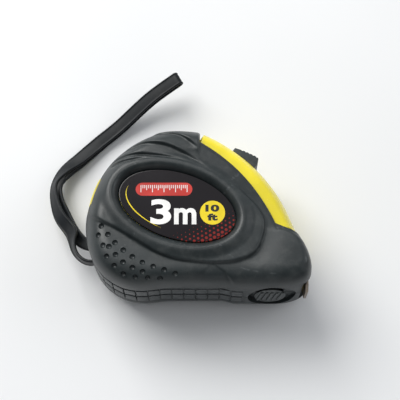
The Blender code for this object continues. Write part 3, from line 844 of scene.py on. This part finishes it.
def case_half(yellow, front):
    edge = case_outline()
    inside = drawn_in(edge, WALL)
    rounded, foot = (5.4 if front else 2.4), MID + 0.4
    shoulder = [(0.0, MID + SPLIT)] + [(rounded * (1 - cos(t)), foot + (SHELL_FACE - foot) * sin(t))
                                       for t in (radians(90 * i / 16) for i in range(17))]
    levels = [level(drawn_in(edge, d), z) for d, z in shoulder]
    half = loft("half", levels)
    hollow = loft("hollow", [level(inside, MID - 1), level(inside, 20.0), level(drawn_in(inside, 0.9), 24.6),
                             level(drawn_in(inside, 2.0), 27.4), level(drawn_in(inside, 3.6), SHELL_FACE - WALL)])
    combine(half, hollow)
    top = SHELL_FACE - WALL / 2
    for centre in SCREWS:
        boss = rod("boss", centre, 1.9, MID + SPLIT, top)
        if not front:
            combine(boss, rod("seat", centre, 2.6, THICK - 6.4, top), operation="UNION")
        combine(boss, loft("half", levels), operation="INTERSECT")
        combine(half, boss, operation="UNION")
    combine(half, rod("socket", REEL, POST_R + 1.9, 26.4, top), operation="UNION")
    combine(half, rod("socket_hole", REEL, POST_R + 0.1, 26.0, SHELL_FACE - 1.0))
    combine(half, prism("wall", [(-28.6, -18.8), (-27.6, -18.8), (-27.6, -5.4), (-28.6, -5.4)],
                        MID + SPLIT, 21.0), operation="UNION")
    patch = [(-32.0, 0.4), (-29.6, 9.2), (-32.5, 8.6), (-33.7, 5.6), (-34.6, 2.6), (-35.0, 0.4)]
    combine(half, loft("patch", [level([(x + d, y) for x, y in patch[::-1]], z) for d, z in (
        (0.0, MID + SPLIT), (0.0, 22.0), (0.4, 25.0), (1.3, 27.9))]), operation="UNION")
    side = MOUTH_WIDTH / 2
    low, high = (11.0, 19.6) if front else (THICK - 19.6, THICK - 11.0)
    pin = (8.2, 22.2) if front else (THICK - 22.2, THICK - 8.2)
    slot = sector(BAND_R - 4, BAND_R + 3, LOCK_HIGH - LOCK_TRAVEL - 8.5, LOCK_HIGH - 1.5, 24)
    x = BRAKE[0]
    combine(half, block("mouth", (MOUTH_X, -32, MID - side), (40, MOUTH_CEILING, MID + side)),
            block("notch", (-40, -17.6, low), (-28.6, -6.6, high)),
            prism("lock_slot", slot, MID - 3.3, MID + 3.3),
            block("brake_way", (x - 3.2, -30, MID - 4.2), (x + 3.2, -21.6, MID + 4.2)),
            rod("pin_way", PIN, 1.1, *pin))
    for centre in SCREWS:
        ways = ((1.0, MID - 1, 26.0),) if front else ((1.1, MID - 1, THICK + 1), (1.85, THICK - 4.6, THICK + 1))
        combine(half, *(rod("screw_way", centre, *way) for way in ways))
    if not front:
        half = turned_over(half)
    name = "front" if front else "rear"
    return finish_piece(half, f"yellow_case_{name}", yellow, "case", (f"case_half_{name}",), 40)


# The label and what is printed on it.


def words(name, text, size, bold, low, high, z):
    """Raised lettering that fills the box from low to high."""
    curve = bpy.data.curves.new(name, "FONT")
    curve.body, curve.size, curve.offset = text, size * MM, bold * MM
    curve.align_x, curve.align_y = "CENTER", "CENTER"
    curve.extrude = 0.012 * MM  # half the thickness of the print
    curve.resolution_u = 6
    made = remade(new_object(name, curve), name)
    spots = [v.co for v in made.data.vertices]
    for axis in (0, 1):
        least, most = min(v[axis] for v in spots), max(v[axis] for v in spots)
        for v in spots:
            v[axis] = (low[axis] + (v[axis] - least) / (most - least) * (high[axis] - low[axis])) * MM
    for v in spots:
        v.z += z * MM
    made.data.transform(Matrix.Translation(MIDDLE * MM))
    return made


def pill(centre, length, height, low, high, steps=12):
    r = height / 2
    x, y = centre
    outline = arc((x + length / 2 - r, y), r, -90, 90, steps) + arc((x - length / 2 + r, y), r, 90, 270, steps)
    return prism("pill", outline, low, high)


def labels(film, red, white, yellow, dark):
    for name, front in (("label_front", True), ("label_rear", False)):
        top = SHELL_FACE + 1.0
        disc = loft(name, [level(window_outline(g), z) for g, z in (
            (-0.06, SHELL_FACE + 0.15), (-0.06, SHELL_FACE + 0.85), (-0.12, SHELL_FACE + 0.94),
            (-0.25, SHELL_FACE + 0.99), (-0.4, top))])
        badge = pill((-10.6, 3.8), 17.7, 4.3, top - 0.02, top + 0.025)
        ticks = []
        for i in range(25):
            tall = 2.4 if i % 6 == 0 else (1.7 if i % 3 == 0 else 1.1)
            x = -17.8 + 0.6 * i
            ticks.append(block("tick", (x - 0.12, 5.2 - tall, top + 0.01), (x + 0.12, 5.2, top + 0.045)))
        metres = [words("three", "3", 11.0, 0.3, (-14.7, -7.7), (-8.3, 0.5), top + 0.02),
                  words("metres", "m", 10.0, 0.3, (-7.4, -7.7), (-0.5, -2.4), top + 0.02)]
        spot = rod("spot", (4.5, -3.9), 3.9, top - 0.02, top + 0.025, 48)
        feet = [words("ten", "10", 4.0, 0.2, (2.3, -3.6), (6.6, -1.3), top + 0.035),
                words("feet", "ft", 3.5, 0.18, (2.9, -6.5), (6.1, -4.2), top + 0.035)]
        rim = window_edge_line(top)
        groups = ((disc, film, (name,), "disc"), (badge, red, (), "badge"),
                  (joined("white", ticks + metres), white, (), "white"), (spot, yellow, (), "spot"),
                  (joined("dark", feet), dark, (), "dark"), (rim, yellow, (), "edge_line"))
        for thing, finish, stands_for, what in groups:
            if not front:
                thing = turned_over(thing)
                if what != "disc":
                    thing = read_from_behind(thing)
            finish_piece(thing, f"{name}_{what}", finish, "case", stands_for, 30)


def read_from_behind(thing):
    """Mirrors a print in its own middle, so that it reads the right way round on the rear face."""
    middle = at(WINDOW[0] + 1.0, 0, 0).x
    return mirrored(thing, lambda p: Vector((2 * middle - p.x, p.y, p.z)))


def window_edge_line(top):
    """A thin crescent printed near the lower left of the window."""
    turns = [radians(172 + 90 * i / 32) for i in range(33)]
    outer = [on_window(-2.2, t) for t in turns]
    inner = [on_window(-2.2 - (0.34 * sin(pi * i / 32) + 0.02), t) for i, t in enumerate(turns)]
    return prism("edge_line", outer + inner[::-1], top - 0.02, top + 0.03)


# Blade, hook, lock and brake.


def blade_tape(finish):
    """One strip from the coil to the hook, dished across its free part as a sprung blade is."""
    xs = [REEL[0] + 1.0 + i * (BLADE_END - REEL[0] - 1.0) / 120 for i in range(121)]
    across = [-8.0 + i for i in range(17)]
    rings = []
    for x in xs:
        dish = 0.7 * min(1.0, max(0.0, (x - 3.0) / 5)) * min(1.0, max(0.0, (25.0 - x) / 4))
        top = [(x, BLADE_TOP + dish * (z / 8) ** 2, MID + z) for z in across]
        under = [(x, BLADE_TOP - BLADE_THICK * 0.6 + dish * (z / 8) ** 2, MID + z) for z in across[::-1]]
        rings.append(top + under)
    tape = loft("tape", rings)
    finish_piece(tape, "blade_tape", finish, None, ("blade_run",), 60)
    tuple(at(4.0, BLADE_TOP, MID))
    tuple(at(24.0, BLADE_TOP, MID))
    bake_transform(tape)


def hook(steel):
    half = HOOK_WIDTH / 2 - 1.2
    top = BLADE_TOP + 0.15
    bend = arc((HOOK_X - 0.6, top - 0.6), 0.6, 90, 0, 6)
    outside = arc((HOOK_X - 0.6, top - 0.6), 1.5, 0, 90, 8)
    profile = [(TONGUE_END, top)] + bend + [(HOOK_X, HOOK_FOOT + 0.2), (HOOK_X + 0.1, HOOK_FOOT),
                                            (HOOK_X + HOOK_THICK - 0.1, HOOK_FOOT)]
    profile += [(HOOK_X + HOOK_THICK, HOOK_FOOT + 0.2)] + [p for p in outside if p[1] < top + 0.7]
    profile += [(TONGUE_END, top + 0.7)]
    made = prism("hook", profile, MID - half, MID + half)
    for z in (MID - 4, MID + 4):
        slot = arc((RIVET_X, z), 0.95, 90, 270, 12) + arc((RIVET_X + 1.1, z), 0.95, -90, 90, 12)
        combine(made, stood_up(prism("slot", slot, top - 1, top + 3)))
    for side in (-1, 1):
        corner = [(MID + side * (half + 0.1), HOOK_FOOT - 0.1), (MID + side * (half - 2.0), HOOK_FOOT - 0.1),
                  (MID + side * (half + 0.1), HOOK_FOOT + 2.2)]
        rings = [[(x, y, z) for z, y in corner] for x in (HOOK_X - 0.5, HOOK_X + 1.5)]
        combine(made, loft("corner", rings))
    soften(made, 0.12, 2)
    finish_piece(made, "hook_plate", steel, "hook", ("end_hook",))


def rivets(steel):
    low = BLADE_TOP - BLADE_THICK
    shape = [(1.2, low - 0.62), (1.5, low - 0.5), (1.6, low - 0.3), (1.6, low - 0.15), (0.75, low - 0.15),
             (0.75, BLADE_TOP + 0.98), (1.6, BLADE_TOP + 1.0), (1.5, BLADE_TOP + 1.3), (1.1, BLADE_TOP + 1.48)]
    stud = about_origin(stood_up(turned("stud", (0, 0), shape, 28)))
    made = grown(cloud([(RIVET_X, 0, MID - 4), (RIVET_X, 0, MID + 4)]), ON_POINTS, Piece=stud, Finish=steel)
    bpy.data.objects.remove(stud)
    finish_piece(made, "hook_rivets", steel, "blade", ("hook_rivet_1", "hook_rivet_2"))


def screws(steel):
    shape = [(1.2, 3.0), (1.5, 3.1), (1.6, 3.3), (1.6, 4.4), (0.9, 4.4)]
    shape += [(0.9 - 0.16 * (i % 2), 6.0 + 0.4 * i) for i in range(46)] + [(0.5, 25.2)]
    screw = about_origin(turned("screw", (0, 0), shape, 24))
    for turn in (0, 90):
        cross = about_origin(block("cross", (-1.1, -0.24, 2.5), (1.1, 0.24, 3.8)))
        cross.data.transform(Matrix.Rotation(radians(turn), 4, "Z"))
        combine(screw, cross)
    made = grown(cloud([(*centre, 0) for centre in SCREWS]), ON_POINTS, Piece=screw, Turn=0.9, Finish=steel)
    bpy.data.objects.remove(screw)
    finish_piece(made, "case_screws", steel, "case",
                 tuple(f"case_screw_{i + 1}" for i in range(4)))


def thumb_lock(black):
    width = LOCK_WIDTH / 2
    crown = []
    for i in range(31):
        share = i / 30
        reach = 57.0 - 2.4 * share**1.3 - 2.2 * max(0.0, 1 - share / 0.16) ** 1.5
        crown += arc(BAND, reach - 0.28 * (i % 4 == 2 and 4 < i < 26), LOCK_LOW - 0.4 + 9.6 * share, 60, 1)[:1]
    inner = arc(BAND, BAND_R - 0.9, LOCK_LOW + 9.2, LOCK_LOW - 0.4, 16)
    button = prism("button", crown + inner, MID - width, MID + width)
    soften(button, 0.3, 3, 40)
    neck = sector(ARM_R + GAP, BAND_R, LOCK_LOW + 2.6, LOCK_HIGH - 2.6, 16)
    combine(button, prism("neck", neck, MID - 2.8, MID + 2.8), operation="UNION")
    finish_piece(button, "lock_button", black, "lock", ("thumb_lock",))


def brake_button(black):
    x, base = BRAKE
    half = BRAKE_LENGTH / 2 - 0.6
    oval = [(x - 0.3 + half * cos(t), MID + (BRAKE_WIDTH / 2 - 0.4) * sin(t))
            for t in (2 * pi * i / 48 for i in range(48))]
    plate = stood_up(prism("plate", oval, base + 0.36, base + 0.62))
    soften(plate, 0.1, 2, 40)
    ribs = []
    for i in range(5):
        mid = x - 3.5 + 1.6 * i
        bar = block("bar", (mid - 0.42, base + 0.02, MID - 4.6), (mid + 0.42, base + 0.6, MID + 4.6))
        soften(bar, 0.16, 2)
        for v in bar.data.vertices:
            v.co.x += (v.co.z - MID * MM) * 0.12
        ribs.append(bar)
    combine(plate, *ribs, operation="UNION")
    stem = block("stem", (x - 2.8, base + 0.6, MID - 3.8), (x + 2.8, base + 3.2, MID + 3.8))
    combine(plate, stem, operation="UNION")
    finish_piece(plate, "brake_key", black, "brake", ("brake_button",))


def brake_leaf(spring):
    """Bowed leaf round the key's stem, drawn in its bowed shape at rest."""
    x, base = BRAKE
    rings = []
    for i in range(25):
        z = MID - 5.2 + 10.4 * i / 24
        bow = base + 1.84 - 0.62 * (1 - ((z - MID) / 5.2) ** 2)
        rings.append([(x - 3.9, bow, z), (x - 3.25, bow, z), (x - 3.25, bow - 0.14, z), (x - 3.9, bow - 0.14, z)])
    other = [[(2 * x - px, y, z) for px, y, z in ring] for ring in rings]
    ends = [block("end", (x - 3.9, base + 1.6, z - 0.3), (x + 3.9, base + 1.74, z + 0.3)) for z in (MID - 5, MID + 5)]
    leaf = joined("leaf", [loft("side", rings), loft("side", other), *ends])
    finish_piece(leaf, "brake_leaf", spring, "case", ("brake_spring",))
    tuple(at(x, base + 1.85, MID))
    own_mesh(leaf)


def mouth_parts(nylon, rubber):
    low = BLADE_TOP - BLADE_THICK
    guide = block("guide", (30.0, -24.2, MID - 8.7), (31.4, -17.2, MID + 8.7))
    flange = block("flange", (29.75, -24.3, MID - 8.9), (30.1, -16.9, MID + 8.9))
    for thing in (guide, flange):
        combine(thing, block("way", (29, low - 0.9, MID - 8.2), (33, BLADE_TOP + 1.9, MID + 8.2)))
    soften(guide, 0.15)
    combine(guide, flange, operation="UNION")
    finish_piece(guide, "blade_guide", nylon, "case", ("mouth_guide",))
    bumper = block("bumper", (31.6, -24.0, MID - 6.5), (32.4, low - 1.2, MID + 6.5))
    finish_piece(soften(bumper, 0.2), "hook_stop", rubber, "case", ("hook_bumper",))


# The wrist strap.


def strap_frames(steps):
    along = spline([(x, y, z) for x, y, z, turn, spread in STRAP_STOPS], steps, closed=False)
    shape = spline([(turn, spread, 0) for x, y, z, turn, spread in STRAP_STOPS], steps, closed=False)
    made = []
    for i, (point, turning) in enumerate(zip(along, shape)):
        ahead = (along[min(i + 1, len(along) - 1)] - along[max(i - 1, 0)]).normalized()
        flat = ahead.cross(Vector((0, 0, 1))).normalized()
        climb = flat.cross(ahead)
        across = flat * cos(radians(turning.x)) + climb * sin(radians(turning.x))
        made.append((point, across, ahead.cross(across).normalized(), turning.y, ahead))
    return made


def strap_loop(steps):
    """(point, across, up) once round: out along one strand, round the fold and back."""
    frames = strap_frames(steps)
    out = [(p + up * spread, w, up) for p, w, up, spread, ahead in frames]
    back = [(p - up * spread, w, -up) for p, w, up, spread, ahead in frames[::-1]]

    def turn_round(frame, forward):
        p, w, up, spread, ahead = frame
        sides = [(up * cos(t) + ahead * sin(t)) * forward for t in (pi * i / 10 for i in range(1, 10))]
        return [(p + side * spread, w, side) for side in sides]

    return out + turn_round(frames[-1], 1) + back + turn_round(frames[0], -1)


def wrist_strap(vinyl, steel):
    profile = [(1.0, 0.0), (0.98, 0.55), (0.93, 0.85), (0.84, 1.0), (0.76, 0.9), (0.70, 0.72), (0.62, 0.72),
               (0.3, 0.78), (0.0, 0.8)]
    half = profile + [(-w, t) for w, t in profile[-2::-1]]
    section = half + [(w, -t) for w, t in half[-2:0:-1]]
    loop = strap_loop(8)
    rings = []
    for point, across, up in loop:
        w, t = across * STRAP_WIDTH / 2, up * STRAP_THICK / 2
        rings.append([tuple(point + w * a + t * b) for a, b in section])
    strap = loft("strap", rings, loop=True)
    finish_piece(strap, "vinyl_strap", vinyl, "case", ("wrist_strap",), 50)
    path = [tuple(at(*point)) for point, across, up in loop]
    path.append(path[0])
    length = sum((Vector(a) - Vector(b)).length for a, b in zip(path, path[1:]))
    p, w, up, spread, _ = strap_frames(3)[9]
    eye = turned("eye", (0, 0), [(0.55, 0.0), (1.3, 0.0), (1.3, 0.25), (1.15, 0.45), (0.9, 0.58), (0.7, 0.5),
                                 (0.58, 0.3)], 32)
    lean = Vector((0, 0, 1)).rotation_difference(up).to_matrix().to_4x4()
    about_origin(eye)
    eye.data.transform(Matrix.Translation(at(*(p + up * (spread + STRAP_THICK / 2 + 0.1)))) @ lean)
    finish_piece(eye, "strap_eyelet", steel, "case", ("strap_rivet",))


# Finishes.


def printed_dots(n):
    """Dots in rows that grow towards the lower right of the label."""
    place = n.add("ShaderNodeMapping", {"Vector": n.place(), "Rotation": (0, 0, radians(26))}).outputs[0]
    axes = n.add("ShaderNodeSeparateXYZ", {0: place}).outputs
    pitch = 1.45 * MM
    row = n.math("DIVIDE", axes["Y"], pitch * 0.866)
    shift = n.math("MULTIPLY", n.math("MODULO", n.math("FLOOR", n.math("ADD", row, 100.0)), 2.0), 0.5)
    u = n.math("SUBTRACT", n.math("FRACT", n.math("ADD", n.math("DIVIDE", axes["X"], pitch), shift)), 0.5)
    v = n.math("SUBTRACT", n.math("FRACT", n.math("ADD", row, 100.0)), 0.5)
    far = n.math("SQRT", n.math("ADD", n.math("MULTIPLY", u, u), n.math("MULTIPLY", v, n.math("MULTIPLY", v, 0.75))))
    where = n.add("ShaderNodeSeparateXYZ", {0: n.place()}).outputs
    low = n.math("MULTIPLY_ADD", where["X"], 0.42, n.math("MULTIPLY", where["Y"], -1.0))
    size = n.ramp(low, 0.0045, 0.0165, 0.0, 0.44)
    fade = n.ramp(where["X"], -0.015, -0.008)
    dot = n.ramp(n.math("SUBTRACT", n.math("MULTIPLY", size, fade), far), 0.0, 0.1)
    yield dot, (0.24, 0.022, 0.018, 1.0)


def blade_marks(n):
    """Ruler marks every millimetre, longer at the fifth and tenth."""
    axes = n.add("ShaderNodeSeparateXYZ", {0: n.place()}).outputs
    for pitch, reach, thick in ((1.0, 4.6, 0.1), (5.0, 3.2, 0.1), (10.0, 0.6, 0.11)):
        part = n.math("FRACT", n.math("DIVIDE", axes["X"], pitch * MM))
        mark = n.math("LESS_THAN", n.math("ABSOLUTE", n.math("SUBTRACT", part, 0.5)), thick / pitch)
        side = n.math("GREATER_THAN", n.math("ABSOLUTE", n.math("SUBTRACT", axes["Z"], 0.017)), reach * MM)
        yield n.math("MULTIPLY", mark, side), (0.02, 0.02, 0.02, 1.0)


def wound_layers(n):
    """Fine rings round the reel, where the edges of the wound blade show."""
    place = n.add("ShaderNodeVectorMath", {0: n.place(), 1: at(*REEL, MID)}, operation="SUBTRACT").outputs[0]
    axes = n.add("ShaderNodeSeparateXYZ", {0: place}).outputs
    far = n.math("SQRT", n.math("ADD", n.math("MULTIPLY", axes["X"], axes["X"]),
                                n.math("MULTIPLY", axes["Y"], axes["Y"])))
    ring = n.math("FRACT", n.math("DIVIDE", far, 0.4 * MM))
    yield n.ramp(ring, 0.7, 0.85), (0.10, 0.085, 0.03, 1.0)


def brushed(n):
    place = n.add("ShaderNodeMapping", {"Vector": n.place(), "Scale": (1.0, 30.0, 1.0)}).outputs[0]
    yield n.math("MULTIPLY", n.noise(place, 500.0, 3.0), 0.5), (0.30, 0.27, 0.24, 1.0)


RUBBER_FINISH = surface("soft rubber", (0.0145, 0.0205, 0.022), 0.41, worn=(0.08, 0.09, 0.095), wear=0.45,
                        grain=5200.0, depth=0.03, dust=0.05, scratched=0.12)
YELLOW = surface("yellow plastic", (0.86, 0.72, 0.03), 0.3, worn=(0.9, 0.8, 0.2), wear=0.15, grain=1800.0,
                 depth=0.004, dust=0.03, scratched=0.15)
BLACK = surface("black plastic", (0.024, 0.031, 0.032), 0.42, worn=(0.10, 0.11, 0.11), wear=0.5, grain=3600.0,
                depth=0.02, dust=0.08)
FILM = surface("printed film", (0.011, 0.009, 0.011), 0.16, wear=0.0, grain=900.0, depth=0.002, dust=0.0, IOR=1.33,
               scratched=0.2, pattern=printed_dots, Coat_Weight=0.25, Coat_Roughness=0.08,
               Specular_IOR_Level=0.35)
RED, WHITE, SPOT, INK = (surface(name, colour, rough, wear=0.0, depth=0.002, dust=0.02) for name, colour, rough in (
    ("red print", (0.58, 0.045, 0.035), 0.2), ("white print", (0.88, 0.88, 0.86), 0.25),
    ("yellow print", (0.88, 0.68, 0.02), 0.2), ("dark print", (0.02, 0.02, 0.02), 0.25)))
STEEL = surface("plated steel", (0.58, 0.55, 0.50), 0.26, 1.0, wear=0.3, grain=2600.0, depth=0.004, dust=0.05,
                pattern=brushed)
HOOK_STEEL = surface("dull hook steel", (0.30, 0.25, 0.20), 0.36, 1.0, wear=0.4, grain=2600.0, depth=0.004,
                     dust=0.05, pattern=brushed)
SPRING = surface("blued spring steel", (0.26, 0.28, 0.32), 0.32, 1.0, wear=0.3, grain=2600.0, depth=0.004,
                 pattern=brushed)
TAPE = surface("painted blade", (0.85, 0.63, 0.03), 0.28, wear=0.0, grain=1500.0, depth=0.002,
               pattern=blade_marks)
COIL = surface("wound blade", (0.80, 0.60, 0.04), 0.35, wear=0.0, grain=1500.0, depth=0.002,
               pattern=wound_layers)
NYLON = surface("white nylon", (0.72, 0.71, 0.66), 0.42, wear=0.1, grain=2400.0, depth=0.006)
VINYL = surface("strap vinyl", (0.006, 0.008, 0.010), 0.42, worn=(0.02, 0.024, 0.028), wear=0.2, grain=3000.0,
                depth=0.006, dust=0.02, scratched=0.1, IOR=1.36, Specular_IOR_Level=0.4)


def dress_nodes():
    """Gives the pieces that the solid already shapes well their own finishes."""
    finishes = {"reel_post": STEEL, "reel_drum": NYLON, "reel_cover": NYLON, "reel_washer_front": NYLON,
                "reel_washer_rear": NYLON, "return_spring": SPRING, "blade_coil": COIL, "lock_arm": SPRING,
                "lock_pad": RUBBER_FINISH, "brake_pad": RUBBER_FINISH, "strap_pin": STEEL}
    for name, finish in finishes.items():
        thing = NODES[name]
        if not thing.material_slots:
            thing.data.materials.append(finish)
        for slot in thing.material_slots:
            slot.material = finish


# The floor, lights and camera.


def studio():
    floor_finish = bpy.data.materials.new("pale floor")
    floor_finish.use_nodes = True
    n = Nodes(floor_finish.node_tree)
    shader = floor_finish.node_tree.nodes["Principled BSDF"]
    tone = n.ramp(n.noise(n.place(), 6.0, 2.0), 0.3, 0.7)
    floor_finish.node_tree.links.new(n.mix(tone, (0.82, 0.83, 0.84, 1), (0.86, 0.87, 0.88, 1)),
                                     shader.inputs["Base Color"])
    shader.inputs["Roughness"].default_value = 0.75
    bm = bmesh.new()
    corners = [bm.verts.new((x * 12.0, y * 12.0, -0.0002)) for x, y in ((-1, -1), (1, -1), (1, 1), (-1, 1))]
    bm.faces.new(corners)
    floor = from_bm("floor", bm)
    floor.data.materials.append(floor_finish)

    def softbox(name, place, size, watts, colour):
        light = bpy.data.lights.new(name, "AREA")
        light.shape, light.size, light.energy, light.color = "SQUARE", size, watts, colour
        thing = bpy.data.objects.new(name, light)
        thing.location = place
        thing.rotation_euler = (Vector((0, 0, 0.015)) - Vector(place)).to_track_quat("-Z", "Y").to_euler()
        bpy.context.scene.collection.objects.link(thing)

    softbox("key_light", (-0.4, 0.45, 0.62), 0.6, 7.2, (1.0, 0.99, 0.97))
    softbox("side_light", (0.7, 0.1, 0.5), 0.5, 1.0, (0.96, 0.98, 1.0))
    softbox("low_light", (0.1, -0.9, 0.3), 0.6, 0.6, (0.97, 0.98, 1.0))
    world = bpy.data.worlds.new("studio")
    world.use_nodes = True
    sky = world.node_tree
    where = sky.nodes.new("ShaderNodeTexCoord")
    split = sky.nodes.new("ShaderNodeSeparateXYZ")
    fall = sky.nodes.new("ShaderNodeMapRange")
    fall.interpolation_type = "SMOOTHSTEP"
    for name, value in (("From Min", -0.85), ("From Max", 0.45), ("To Min", 0.1), ("To Max", 0.62)):
        fall.inputs[name].default_value = value
    sky.links.new(where.outputs["Generated"], split.inputs[0])
    sky.links.new(split.outputs["Y"], fall.inputs["Value"])
    sky.links.new(fall.outputs["Result"], sky.nodes["Background"].inputs["Strength"])
    sky.nodes["Background"].inputs["Color"].default_value = (0.95, 0.97, 1.0, 1)
    bpy.context.scene.world = world
    bpy.context.scene.view_settings.view_transform = "Standard"

    camera = bpy.data.cameras.new("camera")
    camera.sensor_width = 36.0
    camera.lens = 18.0 / tan(radians(21.13 / 2))
    camera.clip_start = 0.01
    eye = bpy.data.objects.new("camera", camera)
    eye.location = (0.0011, -0.1083, 0.3476)
    eye.rotation_euler = (radians(19), 0, 0)
    bpy.context.scene.collection.objects.link(eye)
    bpy.context.scene.camera = eye


studio()
wrist_strap(VINYL, STEEL)
jacket_pair(RUBBER_FINISH)
for is_front in (True, False):
    case_half(YELLOW, is_front)
labels(FILM, RED, WHITE, SPOT, INK)
blade_tape(TAPE)
hook(HOOK_STEEL)
rivets(STEEL)
screws(STEEL)
thumb_lock(BLACK)
brake_button(BLACK)
brake_leaf(SPRING)
mouth_parts(BLACK, RUBBER_FINISH)
dress_nodes()
